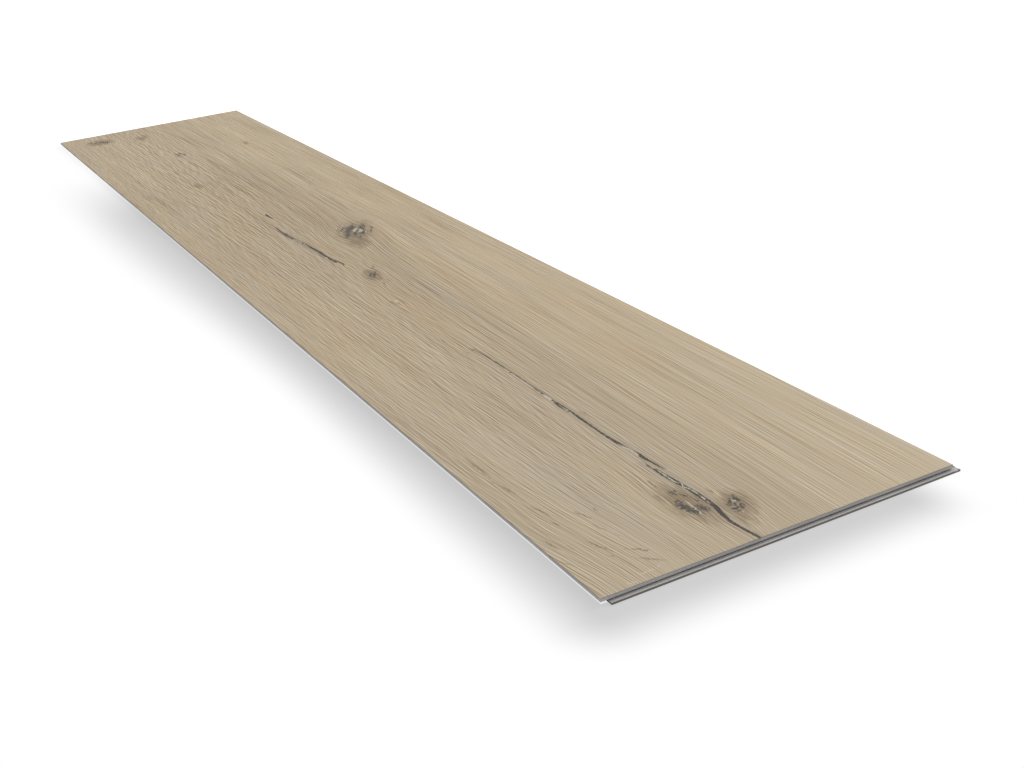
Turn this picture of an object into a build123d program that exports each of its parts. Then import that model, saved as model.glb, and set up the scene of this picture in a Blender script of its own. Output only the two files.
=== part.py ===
from build123d import *
import os

# A rigid vinyl floor plank lying face up.
# The origin is on the underside, below the middle of the laid face.
# X runs across the plank, Y along it and Z up to the printed face.
# All sizes are in millimetres.

# The laid face: what shows once the plank is part of a floor
face_length = 1220.0
face_width = 220.0

# Layers, from the top down
plank_thickness = 4.0
decor_thickness = 0.5
core_thickness = plank_thickness - decor_thickness
face_edge_bevel = 0.25

# The grooved edge: an upper lip, a groove cut in below it, and a lower lip that reaches out
upper_lip_thickness = 1.5
groove_depth = 1.4
lower_lip_reach = 2.6
channel_floor_height = 1.15
channel_width = 1.7
hump_rise = 0.28
hump_overhang = 0.08
lip_tip_chamfer = 0.2
hump_crest_chamfer = 0.1
groove_corner_radius = 0.25
channel_corner_radius = 0.1

# The hooked edge: the same joint seen from the next plank, which drops onto the lower lip
hook_front_step = 0.35
hook_nose_setback = 0.8
recess_reach = 4.4
hook_corner_radius = 0.15
recess_corner_radius = 0.3
recess_heel_chamfer = 0.25

# Room left between two locked planks
hook_to_channel_floor_gap = 0.1
hump_to_recess_roof_gap = 0.1
hook_to_hump_gap = 0.03

# Heights above the underside that both edges share
upper_lip_underside = core_thickness - upper_lip_thickness
hump_top = channel_floor_height + hump_rise
hook_foot = channel_floor_height + hook_to_channel_floor_gap
recess_roof = hump_top + hump_to_recess_roof_gap


def hump_face_reach(height):
    """How far out from the joint the hump's locking face stands at a height.

    The face leans back over the channel, so a hook that has dropped in can't slide out.
    """
    lean = hump_overhang * (height - channel_floor_height) / hump_rise
    return channel_width - lean


def hook_heel_setback(height):
    """How far in from the joint the hook's rear face stands, just clear of the hump."""
    return hump_face_reach(height) - hook_to_hump_gap


def grooved_edge():
    """Corners of the grooved edge as (distance out from the joint, height), top to bottom."""
    return [
        (0, core_thickness),
        (0, upper_lip_underside),
        (-groove_depth, upper_lip_underside),
        (-groove_depth, channel_floor_height),
        (hump_face_reach(channel_floor_height), channel_floor_height),
        (hump_face_reach(hump_top), hump_top),
        (lower_lip_reach - hump_crest_chamfer, hump_top),
        (lower_lip_reach, hump_top - hump_crest_chamfer),
        (lower_lip_reach, lip_tip_chamfer),
        (lower_lip_reach - lip_tip_chamfer, 0),
    ]


def hooked_edge():
    """Corners of the hooked edge as (distance in from the joint, height), top to bottom."""
    return [
        (0, core_thickness),
        (0, upper_lip_underside),
        (hook_front_step, upper_lip_underside),
        (hook_nose_setback, hook_foot),
        (hook_heel_setback(hook_foot), hook_foot),
        (hook_heel_setback(recess_roof), recess_roof),
        (recess_reach, recess_roof),
        (recess_reach, recess_heel_chamfer),
        (recess_reach + recess_heel_chamfer, 0),
    ]


def milled_section(face_span):
    """The board's section between two opposite joints.

    The hooked edge is on the left and the grooved edge on the right, face_span apart.
    """
    hooked = [(setback - face_span / 2, height) for setback, height in hooked_edge()]
    grooved = [(face_span / 2 + reach, height) for reach, height in grooved_edge()]
    outline = Polyline(*hooked, *reversed(grooved), close=True)
    section = make_face(outline)

    # Each cutter's own corner radius is left in the board.
    rounded_corners = [
        (grooved[2], groove_corner_radius),
        (grooved[3], groove_corner_radius),
        (grooved[4], channel_corner_radius),
        (hooked[3], hook_corner_radius),
        (hooked[4], hook_corner_radius),
        (hooked[6], recess_corner_radius),
    ]
    for corner, radius in rounded_corners:
        vertex = section.vertices().sort_by_distance(corner)[0]
        section = fillet(vertex, radius)
    return section


def swept_board(face_span, other_span, profile_plane):
    """A board with one milled section, run on past both ends of the other pair of edges."""
    run_length = other_span + 2 * lower_lip_reach
    return extrude(profile_plane * milled_section(face_span), run_length / 2, both=True)


def core_board():
    """The grey core with its click joint on all four sides.

    The long sides and the short ends are milled one after the other, each cutter passing
    right across the plank. The two milled boards are therefore intersected: the long
    groove runs out through the short lip, and the lips are cut back beside the hooks.
    """
    # Looking along the plank from its near end: the groove is on the right-hand side.
    across = Plane.XZ
    # Looking across the plank from its left side: the groove is on the near end.
    along = Plane(origin=(0, 0, 0), x_dir=(0, -1, 0), z_dir=(-1, 0, 0))
    long_sides_milled = swept_board(face_width, face_length, across)
    short_ends_milled = swept_board(face_length, face_width, along)
    milled = long_sides_milled & short_ends_milled

    # Where a hook meets a hump, the crossing cutters leave a loose crumb, which falls away.
    return milled.solids().sort_by(SortBy.VOLUME)[-1]


def decor_layer():
    """The oak-printed film under its clear wear layer, flush with the joint on all sides."""
    sheet = Box(
        face_width,
        face_length,
        decor_thickness,
        align=(Align.CENTER, Align.CENTER, Align.MIN),
    )
    sheet = Pos(0, 0, core_thickness) * sheet
    face_edges = sheet.faces().sort_by(Axis.Z)[-1].edges()
    return chamfer(face_edges, face_edge_bevel)


def write_parts():
    os.makedirs("parts", exist_ok=True)
    export_step(core_board(), "parts/core_board.step")
    export_step(decor_layer(), "parts/decor_layer.step")


write_parts()
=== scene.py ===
# %% [markdown]
# # A rigid vinyl floor plank
#
# The real thing is one board, four millimetres thick. A grey core of vinyl and limestone
# powder carries a film printed with oak, and a clear wear layer is pressed over the print.
# The core's shape, with its click joint, comes from the CAD model and stays as it is.
# This lesson adds what a drawing of the solid can't show: the oak print, the texture that
# is pressed into it, the milled grey edges, a floor, light and a camera.

# %% Load the plank's solids
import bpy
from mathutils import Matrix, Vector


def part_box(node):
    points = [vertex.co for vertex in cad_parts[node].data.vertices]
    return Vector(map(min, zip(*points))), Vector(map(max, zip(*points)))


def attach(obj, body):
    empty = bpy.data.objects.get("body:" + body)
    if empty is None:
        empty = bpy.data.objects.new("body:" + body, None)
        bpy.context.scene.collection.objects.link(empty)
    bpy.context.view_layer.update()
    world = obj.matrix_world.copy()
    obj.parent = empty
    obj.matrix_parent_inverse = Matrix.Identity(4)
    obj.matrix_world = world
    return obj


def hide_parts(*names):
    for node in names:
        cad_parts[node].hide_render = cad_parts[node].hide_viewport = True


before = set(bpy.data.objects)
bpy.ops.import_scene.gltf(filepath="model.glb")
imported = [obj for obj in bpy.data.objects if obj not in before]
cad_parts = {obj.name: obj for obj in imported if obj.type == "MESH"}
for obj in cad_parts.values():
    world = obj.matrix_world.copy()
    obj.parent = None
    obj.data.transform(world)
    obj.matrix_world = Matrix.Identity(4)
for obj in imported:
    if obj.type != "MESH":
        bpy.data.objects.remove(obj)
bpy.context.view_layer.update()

# %% [markdown]
# ## Places on the face
#
# A floor layer finds a mark on a plank by two distances: how far it is across from the long
# left edge, and how far along from the near short end. All marks of the print are written
# that way here, in millimetres. Blender works in metres with the origin under the middle of
# the face, so one small function turns a place on the face into a point in the scene.

# %% Measure the face
import bpy
import math
from mathutils import Vector, Matrix, noise

MM = 0.001
face_low, face_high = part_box("decor_layer")
face_width = (face_high.x - face_low.x) / MM
face_length = (face_high.y - face_low.y) / MM
sheet_thickness = (face_high.z - face_low.z) / MM


def on_face(across, along, height=0.0):
    """The scene's point for a place on the face, with the height above it, all in mm."""
    return Vector(
        (
            face_low.x + across * MM,
            face_low.y + along * MM,
            face_high.z + height * MM,
        )
    )


print(f"face {face_width:.0f} x {face_length:.0f} mm, sheet {sheet_thickness:.2f} mm thick")

# %% [markdown]
# ## The camera
#
# The face is a rectangle, and in the photograph its long edges meet at one far point and its
# short edges at another. Those two points give the lens, and the corners then give the place
# of the camera: about half a metre in front of the near left corner and 35 cm above it. It
# looks down along the plank and is turned a little about its own axis. The film size is left
# at Blender's 36 mm, so only the focal length carries the angle of view.

# %% Place the camera
camera_data = bpy.data.cameras.new("plank_camera")
camera = bpy.data.objects.new("plank_camera", camera_data)
bpy.context.scene.collection.objects.link(camera)
bpy.context.scene.camera = camera

camera_left_of_face = 267.8
camera_before_face = 466.4
camera_above_face = 347.7
camera_heading = 26.48  # degrees from the plank's length towards its grooved side
camera_dip = 23.69  # degrees below the horizon
camera_roll = -5.16  # degrees
camera_lens = 47.94  # mm

camera.location = on_face(-camera_left_of_face, -camera_before_face, camera_above_face)
looking = Vector((0, 1, 0))
looking.rotate(Matrix.Rotation(math.radians(-camera_dip), 3, "X"))
looking.rotate(Matrix.Rotation(math.radians(-camera_heading), 3, "Z"))
aim = looking.to_track_quat("-Z", "Y").to_matrix()
aim = aim @ Matrix.Rotation(math.radians(camera_roll), 3, "Z")
camera.rotation_euler = aim.to_euler()
camera_data.sensor_width = 36.0
camera_data.lens = camera_lens
camera_data.clip_start = 0.01
print("camera at", tuple(round(v, 3) for v in camera.location))

# %% [markdown]
# ## Colours and nodes
#
# Colours are given as sRGB hex values, the way a painter names a swatch, and one
# function turns them into the linear numbers that Blender's shaders use. A second function
# adds a shader node with its settings, its values and its links in a single call, so that
# each material below reads as a list of what it does. A third starts an empty material.

# %% Helpers for materials


def linear(swatch):
    """Linear colour for an sRGB hex value such as "b2a28b"."""
    parts = [int(swatch[i : i + 2], 16) / 255 for i in (0, 2, 4)]
    light = [p / 12.92 if p <= 0.04045 else ((p + 0.055) / 1.055) ** 2.4 for p in parts]
    return (*light, 1.0)


def add(tree, kind, *values, stops=None, points=None, **settings):
    """Add a node of a kind such as "TexNoise", or "Math ADD" with its operation.

    The values are numbers, nodes or sockets. They go to the inputs in their order, and a
    dict of values goes to the inputs that it names. stops are a colour ramp's (place,
    swatch) pairs, and points are a curve's (x, y) pairs.
    """
    name, _, operation = kind.partition(" ")
    made = tree.nodes.new("ShaderNode" + name)
    if operation:
        made.operation = operation
    for setting, choice in settings.items():
        setattr(made, setting, choice)
    if stops:
        ramp = made.color_ramp
        while len(ramp.elements) < len(stops):
            ramp.elements.new(1.0)
        for element, (place, swatch) in zip(ramp.elements, stops):
            element.position = place
            element.color = linear(swatch)
    if points:
        curve = made.mapping.curves[0]
        while len(curve.points) < len(points):
            curve.points.new(0.5, 0.5)
        for point, place in zip(curve.points, points):
            point.location = place
            point.handle_type = "VECTOR"
        made.mapping.update()
    given = {}
    for place, value in enumerate(values):
        given.update(value if isinstance(value, dict) else {place: value})
    usable = [socket for socket in made.inputs if socket.enabled]
    for key, value in given.items():
        if isinstance(key, int):
            socket = usable[key]
        else:
            socket = next(s for s in usable if s.name == key)
        if isinstance(value, bpy.types.Node):
            value = next(s for s in value.outputs if s.enabled)
        if isinstance(value, bpy.types.NodeSocket):
            tree.links.new(value, socket)
        else:
            socket.default_value = value
    return made


def new_material(name):
    """An empty material and its node tree."""
    material = bpy.data.materials.new(name)
    material.use_nodes = True
    material.node_tree.nodes.clear()
    return material, material.node_tree


print("mid oak tan b2a28b is", tuple(round(v, 3) for v in linear("b2a28b")))

# %% [markdown]
# ## The cracks
#
# The print shows an old oak board. One long drying crack starts at the near end and runs
# along the plank for a quarter of its length, in strands that pass each other. A shorter
# crack lies beyond it. Both are drawn dark, and pale filler lies in them, so that often only
# the two dark rims show. A crack is given as a list of (along, across, width), read off the
# photograph. A ragged line looks thinner than it is drawn, so the dark ones were then made a
# fifth to a half wider. The printed line and the groove that is pressed in under it use the
# same lists, so they can't drift apart.

# %% Write down the cracks
near_strand = [
    (0, 92.4, 1.7), (5, 92.1, 1.9), (10, 91.5, 1.8), (15, 91.0, 1.7), (20, 90.6, 2.2),
    (25, 91.0, 2.3), (30, 91.9, 2.9), (35, 93.0, 3.0), (40, 93.9, 2.9), (46, 94.0, 3.1),
    (54, 94.1, 3.2), (60, 93.8, 2.8), (66, 93.6, 2.5), (71, 93.1, 3.0), (77, 92.7, 3.2),
    (86, 92.3, 2.8), (92, 91.9, 1.7), (98, 91.4, 1.0), (104, 91.3, 0.2),
]
upper_strand = [
    (88, 96.3, 0.4), (93, 96.1, 1.1), (98, 95.7, 1.3), (103, 95.2, 1.8), (107, 94.8, 2.5),
    (112, 95.2, 2.0), (118, 94.5, 1.6), (125, 93.7, 1.7), (131, 93.4, 2.3), (140, 93.0, 1.9),
    (152, 92.9, 1.8), (165, 93.2, 2.0), (176, 93.4, 1.9), (186, 93.4, 2.3), (195, 93.1, 2.8),
    (201, 93.3, 2.2), (203, 93.3, 0.4),
]
hair_strand = [
    (203, 93.4, 1.2), (216, 93.5, 1.2), (232, 93.7, 1.1), (250, 93.9, 1.0), (264, 93.9, 1.0),
    (272, 93.9, 1.4), (280, 93.9, 1.6), (286, 93.8, 1.1), (291, 93.9, 1.5), (299, 93.7, 1.1),
    (306, 93.4, 0.4),
]
short_crack = [
    (553, 89.2, 1.7), (558, 89.5, 2.9), (565, 89.0, 2.4), (572, 89.2, 2.2), (578, 88.4, 2.6),
    (590, 88.6, 3.1), (600, 88.0, 2.7), (610, 87.6, 2.9), (616, 87.1, 2.2), (622, 86.6, 2.2),
    (631, 85.7, 1.7), (640, 84.8, 1.9), (650, 83.9, 2.6), (661, 83.7, 2.9), (671, 83.8, 2.0),
    (681, 84.4, 1.5), (690, 84.9, 0.5),
]
side_dash = [(543, 92.2, 0.7), (548, 92.8, 1.4), (555, 92.0, 1.3), (562, 91.6, 0.5)]
far_dash = [(716, 91.9, 0.6), (723, 91.2, 2.0), (731, 90.9, 2.7), (736, 90.9, 0.8)]
cracks = [near_strand, upper_strand, hair_strand, short_crack, side_dash, far_dash]

near_filler = [
    (43, 93.5, 0.3), (47, 93.9, 0.9), (51, 94.3, 0.9), (53, 94.5, 0.1), (56, 94.6, 0.8),
    (62, 94.3, 0.9), (66, 93.0, 0.8), (69, 94.2, 0.8), (70, 94.0, 0.1), (73, 92.6, 0.9),
    (80, 92.8, 1.3), (86, 92.8, 0.7), (92, 92.5, 0.4), (99, 91.4, 0.6), (104, 91.4, 0.3),
]
upper_filler = [
    (108, 94.3, 0.6), (112, 94.5, 1.2), (119, 94.4, 1.3), (125, 93.5, 1.3), (128, 93.3, 0.5),
    (136, 92.7, 0.3), (150, 92.4, 0.2), (176, 92.5, 0.3), (182, 92.9, 0.8), (188, 93.3, 1.0),
    (192, 93.3, 0.4), (198, 93.6, 0.1),
]
hair_filler = [
    (200, 93.2, 1.0), (204, 93.2, 1.8), (213, 93.2, 1.6), (222, 93.2, 1.1), (236, 93.3, 0.9),
    (252, 93.4, 0.8), (266, 93.6, 0.6), (284, 93.3, 0.4), (303, 93.1, 0.3),
]
short_filler = [
    (552, 88.6, 0.9), (556, 88.9, 0.2), (566, 89.2, 0.4), (576, 87.8, 0.4), (600, 87.2, 0.2),
    (612, 86.8, 0.5), (618, 86.8, 0.9), (630, 86.0, 1.0), (638, 84.8, 0.9), (646, 84.6, 0.4),
    (670, 84.2, 0.2), (684, 85.5, 0.4),
]
fillers = [near_filler, upper_filler, hair_filler, short_filler]


def between(points, along, column):
    """A crack's across (column 1) or width (column 2) at a place along the plank."""
    for before, after in zip(points, points[1:]):
        if before[0] <= along <= after[0]:
            share = (along - before[0]) / (after[0] - before[0])
            return before[column] + share * (after[column] - before[column])
    return None


print("long crack ends", hair_strand[-1][0], "mm from the near end of the plank")

# %% [markdown]
# ## The knots
#
# A knot is where a branch grew out of the board: a dark, cracked heart, a brown halo, and
# grain that parts and flows round it. Each one is an ellipse here, with its half-widths
# across and along in millimetres, a tilt, how far the grain is pushed aside, and how much of
# the full depth the press plate sinks it.

# %% Write down the knots
knots = [
    dict(across=84.5, along=46.0, wide=7.0, long=13.0, tilt=4, push=3.0, sink=1.0),
    dict(across=103.5, along=35.0, wide=4.6, long=9.5, tilt=-28, push=2.4, sink=0.8),
    dict(across=136.0, along=624.0, wide=11.0, long=20.0, tilt=-24, push=5.0, sink=1.0),
    dict(across=101.0, along=504.0, wide=3.4, long=8.0, tilt=-18, push=2.0, sink=0.7),
    dict(across=90.5, along=433.0, wide=4.0, long=7.0, tilt=0, push=1.2, sink=0.3),
    dict(across=96.0, along=1037.0, wide=4.6, long=11.0, tilt=-8, push=1.0, sink=0.3),
    dict(across=30.5, along=1181.0, wide=3.6, long=6.0, tilt=-10, push=1.2, sink=0.6),
    dict(across=43.0, along=1176.0, wide=5.4, long=8.0, tilt=24, push=1.6, sink=0.8),
    dict(across=84.0, along=1160.0, wide=5.0, long=14.0, tilt=-12, push=1.2, sink=0.0),
    dict(across=171.0, along=1037.0, wide=3.0, long=13.0, tilt=0, push=0.8, sink=0.0),
    dict(across=71.0, along=888.0, wide=4.5, long=17.0, tilt=4, push=0.5, sink=0.0),
]


def from_knot(knot, across, along):
    """A place measured from a knot's middle, along its own tilted axes, in mm."""
    turn = math.radians(knot["tilt"])
    right, ahead = across - knot["across"], along - knot["along"]
    return (
        right * math.cos(turn) + ahead * math.sin(turn),
        ahead * math.cos(turn) - right * math.sin(turn),
    )


print(len(knots), "knots and figures on the print")

# %% [markdown]
# ## Marks on the knots
#
# A knot's heart isn't one dark oval. It is a cluster of dark patches with wood between them,
# and a crack through it may be filled with something pale. Each mark is a small ellipse:
# (across, along, half-width, half-length, tilt, strength). A tilt above zero leans to the
# left as the mark runs away from the near end.

# %% Write down the marks
dark_marks = [
    # The near left knot: a crescent, a lower right lobe and threads that trail away.
    (80.9, 46.5, 2.9, 8.2, 3, 1.0), (82.6, 41.0, 2.4, 4.8, 10, 1.0),
    (87.6, 41.5, 2.3, 5.8, 16, 0.9), (87.6, 57.0, 0.9, 5.2, 24, 0.8),
    (84.4, 62.5, 1.1, 3.8, 12, 0.75), (86.4, 64.5, 0.7, 2.6, -5, 0.7),
    (89.8, 50.0, 0.9, 3.0, 10, 0.6), (81.5, 54.5, 1.5, 3.6, -12, 0.7),
    # The near right knot: a slanted, broken ring.
    (107.0, 38.8, 1.7, 5.0, -18, 0.9), (102.3, 38.0, 1.5, 4.8, -38, 0.85),
    (101.0, 31.0, 2.0, 3.3, -15, 0.9), (104.6, 30.6, 1.2, 3.4, -35, 0.85),
    (103.0, 34.6, 1.0, 2.4, -35, 1.0), (98.6, 29.0, 0.7, 1.8, -10, 0.6),
    # The middle knot: threads that fan out on both sides of a split.
    (136.5, 636.0, 4.8, 8.0, -28, 1.0), (130.5, 628.0, 3.2, 8.0, -25, 0.9),
    (126.5, 618.5, 3.0, 9.5, -25, 0.8), (133.8, 620.0, 2.2, 10.5, -20, 0.9),
    (139.5, 616.0, 3.8, 4.8, -30, 0.95), (143.8, 629.0, 2.4, 11.0, -14, 1.0),
    (148.2, 636.5, 1.2, 8.0, -10, 0.8), (147.6, 616.5, 1.1, 6.5, -20, 0.8),
    (151.5, 625.0, 0.9, 5.0, -10, 0.7), (130.6, 602.0, 0.8, 6.2, -6, 0.75),
    (134.4, 635.0, 1.2, 5.5, -10, 1.1), (122.5, 612.0, 1.4, 4.0, -20, 0.7),
    (129.0, 638.0, 1.2, 7.5, -30, 0.8), (140.5, 643.0, 1.0, 7.0, -22, 0.8),
    (134.0, 607.0, 1.0, 6.0, -12, 0.65),
    # The small knot: two leaning lobes.
    (99.6, 505.0, 1.4, 5.0, -20, 0.9), (101.9, 502.5, 1.6, 5.4, -20, 0.95),
    (105.0, 508.6, 0.8, 3.2, -25, 0.6),
    # The far ring, open at the near side.
    (93.0, 1040.0, 1.0, 6.0, 12, 0.75), (97.0, 1045.0, 2.2, 2.6, 0, 0.8),
    (100.4, 1037.0, 1.2, 6.5, -20, 0.75),
    # The far pair.
    (28.5, 1183.0, 1.0, 5.5, -10, 0.75), (32.6, 1178.0, 1.3, 5.5, -6, 0.75),
    (38.6, 1180.0, 1.4, 6.5, 0, 0.7), (41.6, 1177.5, 2.0, 6.8, 4, 1.05),
    (44.8, 1172.5, 2.0, 5.6, 8, 0.9), (46.6, 1176.5, 0.9, 5.5, -4, 0.75),
]
brown_marks = [
    # Halos round the knots, and brown wood below and beside them.
    (84.5, 49.0, 11.5, 26.0, 2, 1.0), (104.0, 34.0, 10.0, 17.0, -18, 0.95),
    (98.0, 22.0, 7.5, 12.0, 0, 0.6), (134.0, 622.0, 16.0, 34.0, -16, 1.0),
    (126.0, 594.0, 10.5, 20.0, -10, 0.8), (153.0, 640.0, 7.0, 16.0, -20, 0.4),
    (100.6, 503.0, 7.2, 18.0, -10, 0.95), (100.9, 491.0, 2.4, 6.5, 0, 0.85),
    (101.4, 512.0, 1.7, 7.0, -10, 0.7), (86.4, 435.0, 1.8, 3.0, 0, 0.7),
    (93.2, 429.0, 1.5, 3.2, 0, 0.65), (90.0, 431.0, 5.5, 7.0, 0, 0.45),
    (37.5, 1178.0, 15.5, 17.0, 0, 1.0), (87.0, 622.0, 4.0, 74.0, 3, 0.4),
    (96.0, 1037.0, 6.0, 13.0, -8, 0.6), (84.0, 1160.0, 9.0, 18.0, -12, 0.6),
    (71.0, 888.0, 5.0, 15.0, 4, 0.6), (171.0, 1037.0, 3.6, 14.0, 0, 0.6),
    # Short brown strokes where a growth ring has been cut at a slant.
    (24.5, 40.5, 0.8, 9.0, 18, 0.9), (38.5, 26.5, 0.8, 8.0, 45, 0.9),
    (38.5, 15.0, 0.8, 8.0, 45, 0.85), (34.0, 72.0, 0.8, 7.5, 18, 0.85),
    (36.0, 51.0, 0.6, 16.0, 18, 0.6), (42.5, 72.0, 0.8, 3.6, 5, 0.8),
    (17.8, 72.0, 0.8, 4.0, 12, 0.8), (6.0, 55.0, 0.8, 7.0, 10, 0.8),
    (2.8, 36.0, 0.7, 6.0, 25, 0.7), (12.0, 49.0, 0.7, 5.5, 15, 0.7),
    (24.6, 29.5, 1.1, 1.6, 30, 0.7), (81.2, 78.0, 0.8, 6.0, -4, 0.8),
    (101.2, 53.0, 0.9, 5.0, -5, 0.8), (98.5, 176.0, 1.8, 8.0, -4, 0.45),
    (92.3, 309.5, 1.9, 4.8, 8, 0.8), (87.0, 307.5, 1.7, 5.0, 12, 0.5),
    (108.8, 521.5, 1.2, 5.5, -20, 0.75), (99.4, 477.0, 0.7, 9.0, -14, 0.7),
    (105.4, 483.0, 0.7, 6.0, 0, 0.7), (97.6, 708.0, 0.8, 3.0, 0, 0.7),
    (83.2, 338.0, 0.7, 7.0, 6, 0.6), (14.5, 150.0, 0.9, 18.0, 2, 0.7),
    (15.5, 122.0, 0.9, 12.0, 8, 0.7), (19.0, 88.0, 0.9, 9.0, 14, 0.7),
]
pale_marks = [
    # Filler in the knots' splits.
    (84.7, 46.5, 0.5, 6.5, -8, 1.0), (83.9, 38.0, 0.5, 4.5, -2, 0.9),
    (84.1, 31.5, 0.5, 1.6, 0, 0.8), (105.0, 38.0, 0.6, 2.4, -8, 0.8),
    (101.0, 33.4, 1.4, 0.6, 0, 0.8), (101.9, 26.0, 0.6, 2.0, -25, 0.7),
    (137.4, 629.0, 1.5, 6.5, -32, 1.1), (141.1, 624.3, 1.7, 4.6, -12, 1.1),
    (138.4, 620.4, 1.9, 1.3, 0, 1.0), (142.3, 616.0, 0.8, 4.0, -18, 1.0),
    (90.6, 434.2, 2.0, 3.2, -20, 0.9), (87.2, 428.5, 0.6, 1.6, -20, 0.7),
    (96.0, 1037.0, 1.6, 4.0, 0, 0.7),
    # Lime that has stayed beside the knots.
    (124.0, 630.0, 0.6, 2.6, -20, 0.7), (122.4, 624.0, 0.6, 2.4, -20, 0.7),
    (134.0, 648.5, 0.6, 2.6, -15, 0.7), (136.4, 645.5, 0.7, 3.2, -15, 0.75),
    (130.2, 643.0, 0.8, 2.4, -20, 0.7), (126.0, 644.5, 0.6, 2.4, -20, 0.6),
    (92.5, 538.0, 0.6, 2.6, -8, 0.8), (97.0, 312.5, 0.5, 2.0, -15, 0.6),
    # Pale rays near the corner.
    (30.8, 6.8, 4.8, 1.0, -8, 0.8), (19.8, 3.2, 3.4, 0.9, -6, 0.7),
    (37.5, 8.5, 2.0, 0.7, 10, 0.6),
]
# The slit of shadow between the two halves of the middle knot's filler
split_shadow = [(138.6, 625.3, 0.8, 5.6, -42, 1.1)]
marks_written = len(dark_marks) + len(brown_marks) + len(pale_marks) + len(split_shadow)
print(marks_written, "marks on the knots and beside them")

# %% [markdown]
# ## The way the grain runs
#
# Oak is never quite straight. Its lines wander a few millimetres over the length of a board,
# part round each knot, and in the near left corner they sweep off to the right, as they do
# where the saw has cut through the top of a growth ring. The print needs one number for each
# place: which line of grain passes through it. Each point of the sheet's mesh stores that
# number, and the material reads it. Straight patterns laid along it bend with the grain.
# All the shifts below are in millimetres to the side.

# %% Follow the grain


def grain_line(across, along):
    """The distance across the plank at which this place's grain line would run if straight."""
    # A slow wandering and a quicker ripple, both weak on the calm right.
    lively = 1.0 - 0.75 * min(1.0, max(0.0, (across - 120) / 60))
    wander = 4.5 * noise.noise(Vector((across / 90, along / 500, 3.1)))
    ripple = 0.7 * noise.noise(Vector((across / 28, along / 110, 7.7)))
    # The lines fan out from the long crack towards the far end.
    fanned = 24.0 * (1.0 - math.exp(-along / 500)) * math.sin(math.tau * (across - 75) / 300)
    # The sweep to the right in the near left corner.
    sweep = 10.0 * math.exp(-(((across - 26) / 30) ** 2)) * math.exp(-((along / 65) ** 2))
    line = across + lively * (wander + ripple) - fanned - sweep
    for knot in knots:
        right, ahead = from_knot(knot, across, along)
        near = (right / (2.1 * knot["wide"])) ** 2 + (ahead / (2.4 * knot["long"])) ** 2
        if near < 9:
            line -= knot["push"] * right / knot["wide"] * math.exp(-near)
    return line


for across in (20, 80, 140, 200):
    moved = grain_line(across, 0) - grain_line(across, 300)
    print(f"{across} mm across: the grain moves {moved:.0f} mm sideways in its first 300 mm")

# %% [markdown]
# ## The printed sheet
#
# The film and the wear layer are bonded into one thin sheet with a small bevel round its
# edges. A press plate leaves the oak's texture in it, in register with the print: the cracks
# and the knots are sunk by a tenth of a millimetre or so, and soft brushed waves run along
# the grain. A grid of points is the right form for a surface like this. Its lines stand close
# together at the cracks and knots and far apart elsewhere, which keeps the mesh light.
# Nothing rises above the real face, because a press plate only pushes down.

# %% Lay out the grid
bevel = 0.25


def grid_stops(length, coarse, spans):
    """Places of grid lines from one edge to the other. spans are (low, high, step)."""
    stops = [0.0, bevel]
    while stops[-1] < length - bevel:
        here = stops[-1]
        step = min([coarse] + [s for low, high, s in spans if low <= here < high])
        stops.append(min(here + step, length - bevel))
    # A last gap that is much narrower than the others joins the one before it.
    if stops[-1] - stops[-2] < 0.3 * coarse:
        stops.pop(-2)
    return stops + [length]


# The cracks and near knots stand 76 to 110 mm across, the middle knot 128 to 148.
fine_across = [(76, 83, 0.9), (83, 97, 0.45), (97, 110, 0.9), (128, 148, 1.4)]
# Near knots, long crack, short crack with the middle knot, and the far pair of knots.
fine_along = [(0, 75, 1.3), (75, 310, 2.0), (534, 690, 2.4), (1165, 1195, 2.4)]
across_stops = grid_stops(face_width, 2.4, fine_across)
along_stops = grid_stops(face_length, 3.6, fine_along)
print(len(across_stops), "lines across by", len(along_stops), "along")

# %% [markdown]
# The press plate sinks the cracks deepest and the knots less. Brushing wears the soft wood
# between an oak's hard lines, so the face between them is a little wavy too. The sheet could
# be a flat plane with all of this as a bump, but real dents catch the light along their
# sides. Walls and an underside close it, so that it is a solid sheet like the real one.

# %% Press the texture into the sheet
crack_depth = 0.16
knot_depth = 0.10
brushed_depth = 0.035


def pressed(across, along, line):
    """How deep the press plate has sunk this place, in mm."""
    # Brushed waves of about 6.5 by 110 mm, and weaker ones of 16 by 220 mm.
    depth = brushed_depth * (0.5 + noise.noise(Vector((line / 6.5, along / 110, 1.3))))
    depth += 0.6 * brushed_depth * (0.5 + noise.noise(Vector((line / 16, along / 220, 5.9))))
    for crack in cracks:
        middle = between(crack, along, 1)
        if middle is not None:
            # A dent's shoulders reach a third of a millimetre past the printed line.
            half = 0.5 * between(crack, along, 2) + 0.35
            depth += crack_depth * max(0.0, 1.0 - (abs(across - middle) / half) ** 2)
    for knot in knots:
        right, ahead = from_knot(knot, across, along)
        reach = (right / knot["wide"]) ** 2 + (ahead / knot["long"]) ** 2
        if reach < 1.0:
            rough = 0.6 + 0.8 * noise.noise(Vector((across / 2.0, along / 3.0, 9.2)))
            depth += knot_depth * knot["sink"] * (1.0 - reach) * rough
    return max(0.0, depth)


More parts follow.
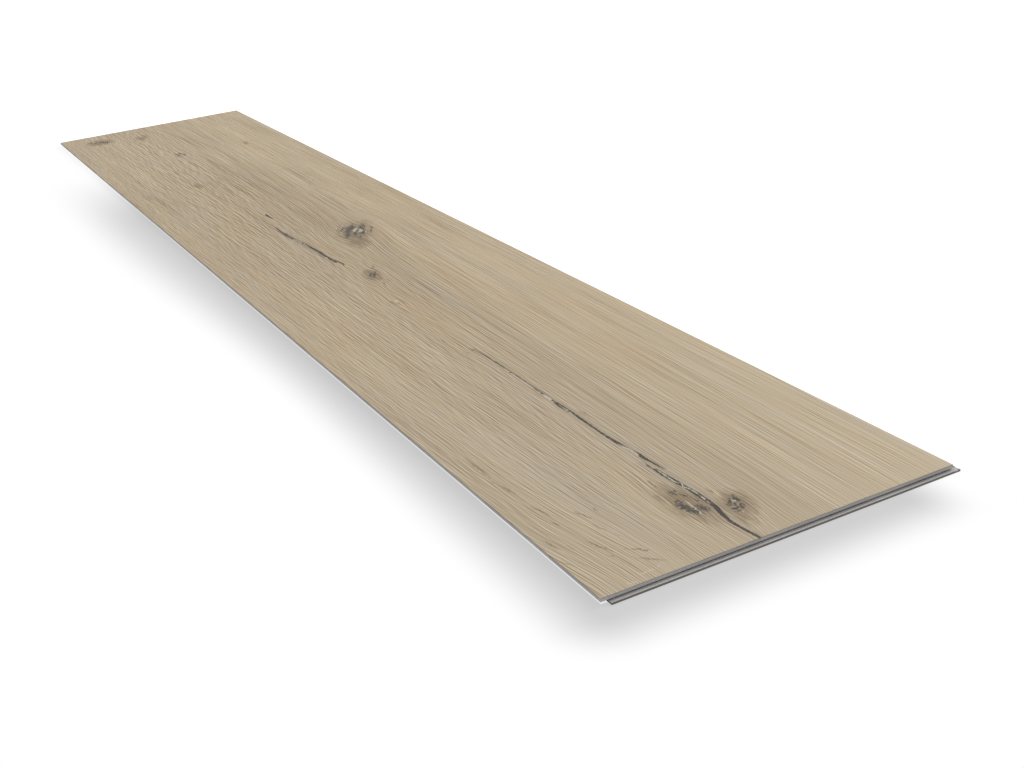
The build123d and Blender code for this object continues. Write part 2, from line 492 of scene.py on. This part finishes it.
def build_sheet():
    """The sheet's mesh, with the grain line of every point kept beside it."""
    points, lines, faces = [], [], []
    columns = len(across_stops)
    for along in along_stops:
        for across in across_stops:
            line = grain_line(across, along)
            edge = across in (0.0, face_width) or along in (0.0, face_length)
            drop = bevel if edge else pressed(across, along, line)
            points.append(on_face(across, along, -drop))
            lines.append(line)
    rows = len(along_stops)
    for row in range(rows - 1):
        for column in range(columns - 1):
            first = row * columns + column
            faces.append((first, first + 1, first + columns + 1, first + columns))

    # Side walls go straight down from the rim, and one face closes the underside.
    rim = list(range(columns))
    rim += [row * columns + columns - 1 for row in range(1, rows)]
    rim += [(rows - 1) * columns + column for column in range(columns - 2, -1, -1)]
    rim += [row * columns for row in range(rows - 2, 0, -1)]
    below = len(points)
    for index in rim:
        foot = points[index].copy()
        foot.z = face_low.z
        points.append(foot)
        lines.append(lines[index])
    count = len(rim)
    for step in range(count):
        after = (step + 1) % count
        faces.append((rim[step], below + step, below + after, rim[after]))
    faces.append(tuple(below + step for step in reversed(range(count))))

    mesh = bpy.data.meshes.new("printed_sheet")
    mesh.from_pydata([tuple(p) for p in points], [], faces)
    grain = mesh.attributes.new("grain_line", "FLOAT", "POINT")
    grain.data.foreach_set("value", lines)
    mesh.shade_smooth()
    mesh.set_sharp_from_angle(angle=math.radians(25))
    mesh.validate()
    return mesh


printed_sheet = bpy.data.objects.new("printed_sheet", build_sheet())
bpy.context.scene.collection.objects.link(printed_sheet)
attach(printed_sheet, "root")
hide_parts("decor_layer")
triangles = sum(len(face.vertices) - 2 for face in printed_sheet.data.polygons)
print("printed sheet:", triangles, "triangles")

# %% [markdown]
# ## The oak print
#
# The pattern is printed with ink on vinyl film, and it copies a brushed and limed oak: tan
# wood with crisp brown, grey and cream lines, from half a millimetre to a few millimetres
# wide. The board shows calm, pale yellow wood with straight lines along its right third, a
# browner middle that holds the cracks and knots, and lively, wavy grain on the left.
#
# It could be one noise texture with a colour ramp, but that gives marble. Here every kind of
# streak is its own noise, stretched to that streak's real width and length along the grain
# line. Their sum picks a tone of oak.

# %% Start the print
oak_print, ink = new_material("oak_print_on_vinyl")  # ink is its node tree
corner = (-face_low.x / MM, -face_low.y / MM, 0.0)
spot = add(ink, "TexCoord").outputs["Object"]
spot = add(ink, "VectorMath MULTIPLY_ADD", spot, (1 / MM, 1 / MM, 0.0), corner)
across, along = add(ink, "SeparateXYZ", spot).outputs[:2]
line = add(ink, "Attribute", attribute_name="grain_line").outputs["Fac"]
print("the print's own places are in mm from the near left corner")

# %% [markdown]
# Four tools draw everything on the print: lumps of noise, a swing to both sides, a smooth
# rise from one value to another, and a coat of colour over what lies below.

# %% Tools for a print


def lumps(place, wide, long, detail=2.0, seed=0.0, aside=0.0):
    """Noise from 0 to 1, with its middle at 0.5, in lumps of a size in mm.

    Another seed gives another noise. aside looks that many lump widths to the side.
    """
    sizes = {"Vector": place, "Location": (aside, 0, seed), "Scale": (1 / wide, 1 / long, 1)}
    stretched = add(ink, "Mapping", sizes)
    return add(ink, "TexNoise", {"Vector": stretched, "Scale": 1.0, "Detail": detail})


def swing(lump, amount):
    """Lumps about zero: they shift things both ways, by up to half the amount."""
    return add(ink, "Math MULTIPLY", add(ink, "Math SUBTRACT", lump, 0.5), amount)


def rise(value, low, high, bottom=0.0, top=1.0):
    """bottom where the value is at low, top where it is at high, and smooth between.

    low may be the greater of the two.
    """
    ends = (bottom, top) if low < high else (top, bottom)
    limits = {"Value": value, "From Min": min(low, high), "From Max": max(low, high)}
    limits.update({"To Min": ends[0], "To Max": ends[1]})
    return add(value.id_data, "MapRange", limits, interpolation_type="SMOOTHSTEP")


def paint(under, share, over):
    """Cover a share of one colour with another. Each is a swatch, a node or a socket."""
    under, over = (linear(c) if isinstance(c, str) else c for c in (under, over))
    coat = {"Factor": share, "A": under, "B": over}
    return add(share.id_data, "Mix", coat, data_type="RGBA")


print("four tools: lumps, swing, rise and paint")

# %% [markdown]
# The grain runs in zones. Their borders waver, because the rings of the tree do. From left
# to right the lines get straighter first, and a little further on the wood gets paler.
#
# Fine lines also tremble from side to side, most of all on the lively left. And noise is
# built on a grid, so all streaks of one length would end in the same rows across the plank.
# A slow noise that shifts the places along the plank staggers those ends.

# %% Mark off the zones
border = add(ink, "Math ADD", across, swing(lumps(spot, 40, 260), 40.0))
straight_zone = rise(border, 90, 130)
pale_zone = rise(border, 118, 168)
lively_zone = rise(border, 96, 60)
brown_zone = add(ink, "Math MULTIPLY", rise(border, 62, 96), rise(border, 178, 132))

loose = add(ink, "Math MULTIPLY_ADD", straight_zone, -0.75, 1.0)
tremble = add(ink, "Math MULTIPLY", swing(lumps(spot, 6, 70, detail=1.0), 0.35), loose)
grain_run = add(ink, "CombineXYZ", line, along)
uneven_ends = swing(lumps(grain_run, 16, 900, detail=0.0), 55.0)
grain_place = add(
    ink,
    "CombineXYZ",
    add(ink, "Math ADD", line, tremble),
    add(ink, "Math ADD", along, uneven_ends),
)
print("zones: lively left, brown middle, straight and then pale right")

# %% [markdown]
# The tone runs from 0, the darkest wood, to 1, the palest. It starts as a broad wash: a
# little paler at the near end and on the right, with one brown belt in the middle zone and
# another right across the board, about two thirds of the way along.

# %% Wash in the board's tones
tone = add(ink, "Math MULTIPLY_ADD", brown_zone, -0.03, 0.52)
tone = add(ink, "Math ADD", tone, rise(along, 260, 20, top=0.035))
belt = add(ink, "Math MULTIPLY", rise(along, 200, 560, top=0.06), rise(along, 1060, 880))
tone = add(ink, "Math SUBTRACT", tone, add(ink, "Math MULTIPLY", brown_zone, belt))
belt = add(ink, "Math MULTIPLY", rise(along, 500, 640, top=0.04), rise(along, 1000, 860))
tone = add(ink, "Math SUBTRACT", tone, belt)
tone = add(ink, "Math MULTIPLY_ADD", pale_zone, 0.08, tone)
print("tones: paler near and right, two brown belts")

# %% [markdown]
# Each kind of streak has a width and a length in millimetres, and two strengths: how far it
# may shift the tone on the left and in the straight zone. The finer kinds are printed a
# little stronger towards the far end, most of all on the pale right.
#
# The finest kinds need a trick. Noise that is stretched into lines also swells and fades in
# lumps wider than a line. When the same noise is taken away from itself, about one line
# further on, the lumps cancel and crisp lines are left.

# %% Lay down the streaks


def streak(wide, long, seed, aside=0.0):
    """Noise stretched along the grain, in the width and length of a streak, in mm."""
    return lumps(grain_place, wide, long, detail=0.0, seed=seed, aside=aside)


livelier = add(ink, "Math ADD", rise(along, 0, 1000, top=0.40), 0.88)
livelier = add(ink, "Math MULTIPLY_ADD", pale_zone, rise(along, 0, 1000, top=0.35), livelier)


def strength_here(on_left, on_right, fine=True):
    """How far a kind of streak may shift the tone at a place."""
    strength = add(ink, "Math MULTIPLY_ADD", straight_zone, on_right - on_left, on_left)
    return add(ink, "Math MULTIPLY", strength, livelier) if fine else strength


# Width, length, strength on the left and strength in the straight zone
soft_kinds = [
    (26.0, 900.0, 0.13, 0.14),
    (9.0, 400.0, 0.10, 0.10),
    (1.8, 200.0, 0.14, 0.16),
    (1.0, 130.0, 0.40, 0.62),
    (1.0, 40.0, 0.16, 0.06),
]
crisp_kinds = [
    (0.55, 60.0, 0.72, 1.10),
    (0.55, 18.0, 0.88, 0.25),
]
one_line_on = 0.9
for seed, (wide, long, on_left, on_right) in enumerate(soft_kinds):
    strength = strength_here(on_left, on_right, fine=wide < 3)
    tone = add(ink, "Math ADD", tone, swing(streak(wide, long, 3.0 * seed), strength))
for seed, (wide, long, on_left, on_right) in enumerate(crisp_kinds):
    here = streak(wide, long, 3.0 * seed + 21.0)
    beside = streak(wide, long, 3.0 * seed + 21.0, aside=one_line_on)
    crisp = add(ink, "Math SUBTRACT", here, beside)
    tone = add(ink, "Math MULTIPLY_ADD", crisp, strength_here(on_left, on_right), tone)
print(len(soft_kinds), "soft and", len(crisp_kinds), "crisp kinds of streak")

# %% [markdown]
# Two more lines lie on top, and they come in groups. Brown dashes are the oak's open pores,
# and lime is the pale paste that was rubbed into the wood and has stayed in some lines. A
# real pore is some 0.3 mm wide. From here it has to be drawn at 0.8 mm to show.

# %% Add pores and lime
brown_dashes = add(ink, "Math ADD", streak(0.8, 36, 41.0), swing(streak(20, 200, 42.0), 0.2))
brown_dashes = rise(brown_dashes, 0.58, 0.74)
dash_strength = add(ink, "Math MULTIPLY_ADD", lively_zone, 0.06, 0.05)
tone = add(ink, "Math SUBTRACT", tone, add(ink, "Math MULTIPLY", brown_dashes, dash_strength))
lime = add(ink, "Math ADD", streak(1.0, 120, 51.0), swing(streak(24, 300, 52.0), 0.25))
lime = rise(lime, 0.60, 0.76)
tone = add(ink, "Math MULTIPLY_ADD", lime, 0.05, tone)
print("pores 0.8 mm wide and lime lines 1 mm wide")

# %% [markdown]
# The same tone can be a warm yellow brown or a cool grey one, as lime and tannin come and go
# in the wood. Two ramps give the tones, and a slow noise along the grain blends them. Lime
# is cool, the pale zone is warm, and the near third is a little cooler than the rest.

# %% Turn tone into oak colours
warm_tones = [
    (0.0, "866e4e"), (0.22, "a08762"), (0.42, "b09978"),
    (0.6, "bda886"), (0.8, "c9b594"), (1.0, "d2c2a1"),
]
cool_tones = [
    (0.0, "7f7469"), (0.22, "94897a"), (0.42, "a59a89"),
    (0.6, "b2a896"), (0.8, "c1b7a5"), (1.0, "cdc5b5"),
]
warm_wood = add(ink, "ValToRGB", tone, stops=warm_tones)
cool_wood = add(ink, "ValToRGB", tone, stops=cool_tones)
cool_lines, cool_bands = swing(streak(2.0, 160, 61.0), 0.45), swing(streak(14, 300, 62.0), 0.35)
coolness = add(ink, "Math ADD", cool_lines, cool_bands)
coolness = add(ink, "Math MULTIPLY_ADD", lime, 0.25, coolness)
coolness = add(ink, "Math MULTIPLY_ADD", pale_zone, -0.12, coolness)
coolness = add(ink, "Math ADD", coolness, rise(along, 360, 120, top=0.13))
coolness = add(ink, "Math ADD", coolness, 0.40, use_clamp=True)
wood = paint(warm_wood, coolness, cool_wood)
for name, tones in (("warm", warm_tones), ("cool", cool_tones)):
    print(name, "oak goes from", tones[0][1], "to", tones[-1][1])

# %% [markdown]
# ## Knots on the print
#
# The lists of marks are drawn here. For each one, the distance from its middle is counted in
# its own radii and turned into a height, like a small hill, and the highest hill counts. A
# printed mark is never a clean oval, so the places are first pushed about by a millimetre
# or two, and a texture roughens the hills before a threshold cuts out the ink.

# %% Turn marks into hills


def pushed(place, size, amount):
    """A place moved at random in lumps of a size, by up to half the amount, both in mm.

    Along the plank it moves further, because marks are torn along the grain.
    """
    push = lumps(place, size, size).outputs["Color"]
    push = add(ink, "VectorMath SUBTRACT", push, (0.5, 0.5, 0.0))
    return add(ink, "VectorMath MULTIPLY_ADD", push, (amount, 1.6 * amount, 0.0), place)


ragged_spot = pushed(pushed(spot, 3.2, 3.4), 0.9, 1.2)
hill_foot = 1.25  # radii of the mark


def hills(marks):
    """The highest of the marks' hills. Each falls to a quarter of its strength at the rim."""
    highest = 0.0
    for across_at, along_at, wide, long, tilt, strength in marks:
        shape = {
            "Vector": ragged_spot,
            "Location": (across_at, along_at, 0),
            "Rotation": (0, 0, math.radians(tilt)),
            "Scale": (hill_foot * wide, hill_foot * long, 1),
        }
        inside = add(ink, "Mapping", shape, vector_type="TEXTURE")
        hill = add(ink, "TexGradient", inside, gradient_type="SPHERICAL")
        height = add(ink, "Math MULTIPLY", hill.outputs["Fac"], hill_foot * strength)
        highest = add(ink, "Math MAXIMUM", highest, height)
    return highest


def roughened(heights, texture, amount):
    """Heights with a texture added, but only where there is a mark to roughen."""
    bumps = add(ink, "Math MULTIPLY", swing(texture, amount), rise(heights, 0.0, 0.3))
    return add(ink, "Math ADD", heights, bumps)


specks = lumps(spot, 0.9, 2.0)
brown_hills = roughened(hills(brown_marks), streak(1.2, 12, 71.0), 0.9)
dark_hills = roughened(hills(dark_marks), specks, 3.4)
pale_hills = roughened(hills(pale_marks), specks, 1.4)
shadow_hills = hills(split_shadow)
print("drew", marks_written, "marks")

# %% [markdown]
# Now the hills are inked, from the broad brown halos to the dark hearts and the pale filler.
# A halo is stained wood, so it keeps the wood's own pale and dark lines in browner colours.

# %% Ink the marks
brown_wood = paint("7b6b54", rise(tone, 0.25, 0.8), "958369")
marked = paint(wood, rise(brown_hills, 0.0, 0.80, top=0.85), brown_wood)
marked = paint(marked, rise(dark_hills, 0.14, 0.34, top=0.85), "70675c")
marked = paint(marked, rise(dark_hills, 0.46, 0.72, top=0.92), "4e4943")
marked = paint(marked, rise(pale_hills, 0.20, 0.50, top=0.75), "c2b8a7")
marked = paint(marked, rise(shadow_hills, 0.20, 0.45, top=0.8), "5f5850")
print("inked halos, hearts, filler and the slit in the middle knot")

# %% [markdown]
# ## Cracks on the print
#
# A curve node can hold a crack exactly: it is fed the place along the plank, and gives back
# how far across the crack lies there. A second curve gives its width. Where a point's own
# distance from the middle is under half that width, it is in the crack. The filler is drawn
# the same way, over the dark line and narrower, so that dark rims stay on both sides of it.

# %% Draw the cracks and their filler
jagged = swing(lumps(spot, 2.0, 2.0), 0.9)
jagged = add(ink, "Math ADD", jagged, swing(lumps(spot, 1 / 1.4, 1 / 1.4, detail=0.0), 0.9))
jagged_across = add(ink, "Math ADD", across, jagged)


def drawn_line(points, softness):
    """1 inside a line of (along, across, width) points, and 0 outside it.

    Its edges blur by the softness both ways, in mm.
    """
    start, end = points[0][0], points[-1][0]
    low, high = min(p[1] for p in points), max(p[1] for p in points)
    widest = max(p[2] for p in points)
    share = add(ink, "MapRange", {"Value": along, "From Min": start, "From Max": end})
    middles = [((p[0] - start) / (end - start), (p[1] - low) / (high - low)) for p in points]
    widths = [((p[0] - start) / (end - start), p[2] / widest) for p in points]
    middle = add(ink, "FloatCurve", {"Value": share}, points=middles)
    width = add(ink, "FloatCurve", {"Value": share}, points=widths)
    middle = add(ink, "Math MULTIPLY_ADD", middle, high - low, low)
    off = add(ink, "Math ABSOLUTE", add(ink, "Math SUBTRACT", jagged_across, middle))
    beyond = add(ink, "Math MULTIPLY_ADD", width, -widest / 2, off)
    past_start, before_end = rise(along, start - 0.5, start), rise(along, end + 0.5, end)
    inside_ends = add(ink, "Math MULTIPLY", past_start, before_end)
    return add(ink, "Math MULTIPLY", rise(beyond, softness, -softness), inside_ends)


crack_marks, filler_marks = 0.0, 0.0
for crack in cracks:
    crack_marks = add(ink, "Math MAXIMUM", crack_marks, drawn_line(crack, 0.25))
for filler in fillers:
    filler_marks = add(ink, "Math MAXIMUM", filler_marks, drawn_line(filler, 0.3))
print("drew", len(cracks), "crack strands and", len(fillers), "filler lines")

# %% [markdown]
# Tannin has stained the wood beside the long crack, so a wider and softer line lies under
# it. The crack's ink is broken by lighter patches, and the filler has fallen out in places.

# %% Ink the cracks
stain = drawn_line([(p[0], p[1], p[2] + 6.0) for p in near_strand], 3.5)
side_stain = drawn_line([(p[0], p[1], p[2] + 3.0) for p in upper_strand + hair_strand[1:]], 2.0)
patches = lumps(spot, 1.6, 4.5)
crack_ink = paint("48423d", rise(patches, 0.52, 0.66, top=0.6), "776c60")
filler_ink = paint("c9c0af", rise(patches, 0.50, 0.62, top=0.7), "a3a5a3")
filler_holds = rise(lumps(spot, 1 / 0.22, 1 / 0.22), 0.36, 0.46, top=0.9)
cracked = paint(marked, add(ink, "Math MULTIPLY", stain, 0.26), "86745d")
cracked = paint(cracked, add(ink, "Math MULTIPLY", side_stain, 0.34), "86745d")
cracked = paint(cracked, add(ink, "Math MULTIPLY", crack_marks, 0.96), crack_ink)
cracked = paint(cracked, add(ink, "Math MULTIPLY", filler_marks, filler_holds), filler_ink)
print("stain, crack and filler are inked")

# %% [markdown]
# ## The wear layer's sheen
#
# Over the ink lies clear polyurethane-coated vinyl with a matt finish. It reflects like any
# plastic, with an IOR near 1.5, and its sheen is even and low. The brown dashes are a little
# rougher than the land between them, because the press plate is etched there. The finest
# texture is too small for the mesh, so it is a bump, a few hundredths of a millimetre deep.
# The sheet's own sides are cut, and show the grey of the core smeared over the film.

# %% Finish the printed sheet
fine_relief = add(ink, "Math MULTIPLY_ADD", brown_dashes, -1.0, streak(0.9, 24, 81.0))
bump = add(ink, "Bump", {"Strength": 0.3, "Distance": 0.08 * MM, "Height": fine_relief})
roughness = add(ink, "Math MULTIPLY_ADD", brown_dashes, 0.08, 0.55)
roughness = add(ink, "Math MULTIPLY_ADD", crack_marks, 0.2, roughness)
facing = add(ink, "SeparateXYZ", add(ink, "TexCoord").outputs["Normal"])
cut_side = rise(add(ink, "Math ABSOLUTE", facing.outputs["Z"]), 0.95, 0.6)
wear_layer = add(
    ink,
    "BsdfPrincipled",
    {
        "Base Color": paint(cracked, cut_side, "88847f"),
        "Roughness": roughness,
        "IOR": 1.5,
        "Specular IOR Level": 0.2,
        "Normal": bump,
    },
)
add(ink, "OutputMaterial", {"Surface": wear_layer})
printed_sheet.data.materials.append(oak_print)
print("the print has", len(ink.nodes), "nodes")

# %% [markdown]
# ## The grey core
#
# The core is limestone powder in vinyl, rolled hot between smooth rollers, so its back is
# even and slightly satiny. The click joint is milled, and a milled edge is duller, with
# faint lines along the way the cutter ran and pale specks where it has cut through grains of
# stone. The upright faces of the lower lip are painted much darker than the upper one and a
# little brown: that is painted shade, not a colour of the core.

# %% Make the core's material
milled_core, core = new_material("limestone_filled_vinyl")
core_coordinates = add(core, "TexCoord")
core_spot = core_coordinates.outputs["Object"]
core_spot = add(core, "VectorMath MULTIPLY", core_spot, (1 / MM,) * 3)

# The real specks are a few tenths of a millimetre; they are drawn twice that, to show.
grains = add(core, "TexNoise", {"Vector": core_spot, "Scale": 1.1, "Detail": 2.0})
clouds = add(core, "TexNoise", {"Vector": core_spot, "Scale": 0.03, "Detail": 3.0})
speckle = add(core, "Math MULTIPLY", add(core, "Math ADD", grains, clouds), 0.5)
core_tones = [(0.36, "9c9b99"), (0.5, "a9a8a6"), (0.64, "b6b5b2")]
core_grey = add(core, "ValToRGB", speckle, stops=core_tones)

# The lower lip ends 1.43 mm above the floor, and only upright faces below it take the painted
# shade.
core_height = add(core, "SeparateXYZ", core_spot).outputs["Z"]
low_down = add(core, "MapRange", {"Value": core_height, "From Min": 1.55, "From Max": 1.35})
facing = add(core, "SeparateXYZ", core_coordinates.outputs["Normal"]).outputs["Z"]
upright = add(core, "Math SUBTRACT", 1.0, add(core, "Math ABSOLUTE", facing), use_clamp=True)
painted_lip_shade = add(core, "Math MULTIPLY", low_down, upright)
# Painted shade: the lower lip's upright faces are darkened to a brownish grey, 645d55.
core_colour = paint(core_grey, painted_lip_shade, "645d55")
print("core grey from", core_tones[0][1], "to", core_tones[-1][1], "and smeared 645d55")

# %% [markdown]
# A cutter leaves lines along its way, a sixth of a millimetre apart and some fifty
# millimetres long. They are too fine for more than a faint bump.

# %% Mill the core's surface
cutter_place = add(core, "VectorMath MULTIPLY", core_spot, (1 / 50, 1 / 50, 6.0))
cutter_lines = add(core, "TexNoise", {"Vector": cutter_place, "Scale": 1.0})
core_bump = add(core, "Bump", {"Strength": 0.4, "Distance": 0.05 * MM, "Height": cutter_lines})
core_look = {"Base Color": core_colour, "Roughness": 0.6, "IOR": 1.5, "Normal": core_bump}
core_surface = add(core, "BsdfPrincipled", core_look)
add(core, "OutputMaterial", {"Surface": core_surface})
core_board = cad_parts["core_board"]
for slot in core_board.material_slots:
    slot.material = milled_core
print("core board has", len(core_board.data.polygons), "faces")

# %% [markdown]
# ## The floor
#
# The plank lies on a plain white floor. In the photograph a grey shade lies on the floor for
# several centimetres to the left of the plank and before it. Four millimetres of plank can't
# throw that far, so it was laid on afterwards, as catalogue pictures have it. It is part of
# the floor's look here: the distance from the plank decides how deep it is, and it fades out
# towards the far end and the right. Only the camera sees it.

# %% Lay the floor
floor_mesh = bpy.data.meshes.new("studio_floor")
half = 8.0  # m
floor_corners = [(-half, -half, 0), (half, -half, 0), (half, half, 0), (-half, half, 0)]
floor_mesh.from_pydata(floor_corners, [], [(0, 1, 2, 3)])
studio_floor = bpy.data.objects.new("studio_floor", floor_mesh)
bpy.context.scene.collection.objects.link(studio_floor)
print("floor", 2 * half, "m square")

# %% [markdown]
# The shade needs one number for each place on the floor: how far it is from a rectangle that
# lies under the plank. Beside the rectangle that is a plain distance, and off its corners it
# is measured slantwise, which rounds the shade there.

# %% Measure how far a place is from the plank
white_floor, floor = new_material("white_floor")
floor_spot = add(floor, "TexCoord").outputs["Object"]
floor_spot = add(floor, "VectorMath MULTIPLY_ADD", floor_spot, (1 / MM, 1 / MM, 0.0), corner)
floor_across, floor_along = add(floor, "SeparateXYZ", floor_spot).outputs[:2]

# The shade is whole over this rectangle and falls off round it. In mm, as on the face.
shade_low, shade_high = Vector((0, -5, 0)), Vector((195, 1150, 0))
shade_middle = (shade_low + shade_high) / 2
outside = add(floor, "VectorMath SUBTRACT", floor_spot, tuple(shade_middle))
outside = add(floor, "VectorMath ABSOLUTE", outside)
outside = add(floor, "VectorMath SUBTRACT", outside, tuple(shade_high - shade_middle))
outside = add(floor, "VectorMath MAXIMUM", outside, (0, 0, 0))
distance = add(floor, "VectorMath LENGTH", outside).outputs["Value"]
print("the shade starts from a rectangle", tuple(shade_high - shade_low)[:2], "mm")

# %% [markdown]
# The shade reaches further out towards the far end, and is weaker there. The hooked edge
# hangs clear of the floor, and a thin strip of painted light makes the floor paler under it on
# the left.

# %% Shade the floor
shade_reach = rise(floor_along, 300, 800, bottom=42, top=70)
fall = {"Value": distance, "From Min": 2.0, "From Max": shade_reach, "To Min": 1.0, "To Max": 0.0}
shade = add(floor, "MapRange", fall, interpolation_type="SMOOTHSTEP")
fade_far, fade_right = rise(floor_along, 1060, 800), rise(floor_across, 214, 178, top=0.37)
for fade in (fade_far, fade_right):
    shade = add(floor, "Math MULTIPLY", shade, fade)
light_left = add(floor, "Math SUBTRACT", 1.0, shade)
# Painted light: the floor under the hooked left edge is made paler in a thin strip.
painted_light_under_hook = rise(floor_across, 0.5, 1.3, top=0.3)
beside_plank = rise(floor_along, 0.5, 2.0)
light_left = add(floor, "Math MULTIPLY_ADD", painted_light_under_hook, beside_plank, light_left)
print("shade 42 to 70 mm wide")

# %% [markdown]
# To the camera most of the floor's white is a glow, so that it is as white as the backdrop,
# and the rest is paint that takes the plank's real shadow. To the light it is plain paint.

# %% Paint the floor
painted_share = 0.15
floor_paint = add(floor, "BsdfDiffuse", {"Color": linear("f4f4f4")})
painted_part = add(floor, "Math MULTIPLY", light_left, painted_share)
shaded_paint = add(floor, "BsdfDiffuse", {"Color": painted_part})
floor_glow = add(floor, "Emission", {"Color": light_left, "Strength": 1 - painted_share})
shaded_floor = add(floor, "AddShader", shaded_paint, floor_glow)
is_seen = add(floor, "LightPath").outputs["Is Camera Ray"]
floor_look = add(floor, "MixShader", is_seen, floor_paint, shaded_floor)
add(floor, "OutputMaterial", {"Surface": floor_look})
floor_mesh.materials.append(white_floor)
print("floor painted, with", len(floor.nodes), "nodes")

# %% [markdown]
# ## The light
#
# The photograph has the even light of a white tent. The sky gives most of it. The camera
# sees that sky as full white, and the plank gets two thirds of it, which keeps the pale oak
# from washing out. A broad, soft sun from behind on the right gives the shadow its direction.

# %% Light the plank
world = bpy.data.worlds.new("studio_sky")
bpy.context.scene.world = world
world.use_nodes = True
tent = world.node_tree
tent.nodes.clear()
is_seen = add(tent, "LightPath").outputs["Is Camera Ray"]
brightness = add(tent, "MapRange", {"Value": is_seen, "To Min": 0.68, "To Max": 1.0})
sky = add(tent, "Background", {"Color": (1, 1, 1, 1), "Strength": brightness})
add(tent, "OutputWorld", {"Surface": sky})

sun_data = bpy.data.lights.new("soft_sun", "SUN")
sun_height = 30.0  # degrees
sun_data.angle = math.radians(35)
sun_data.energy = 0.32 * math.pi / math.sin(math.radians(sun_height))
soft_sun = bpy.data.objects.new("soft_sun", sun_data)
bpy.context.scene.collection.objects.link(soft_sun)
sun_from = Vector((0.97, 0.24, math.tan(math.radians(sun_height))))
soft_sun.rotation_euler = sun_from.to_track_quat("Z", "Y").to_euler()
print("sun", sun_height, "degrees high, energy", round(sun_data.energy, 2))

# %% [markdown]
# ## Finish
#
# Blender shows the colours as they are, with its Standard view transform.

# %% Finish
bpy.context.scene.view_settings.view_transform = "Standard"
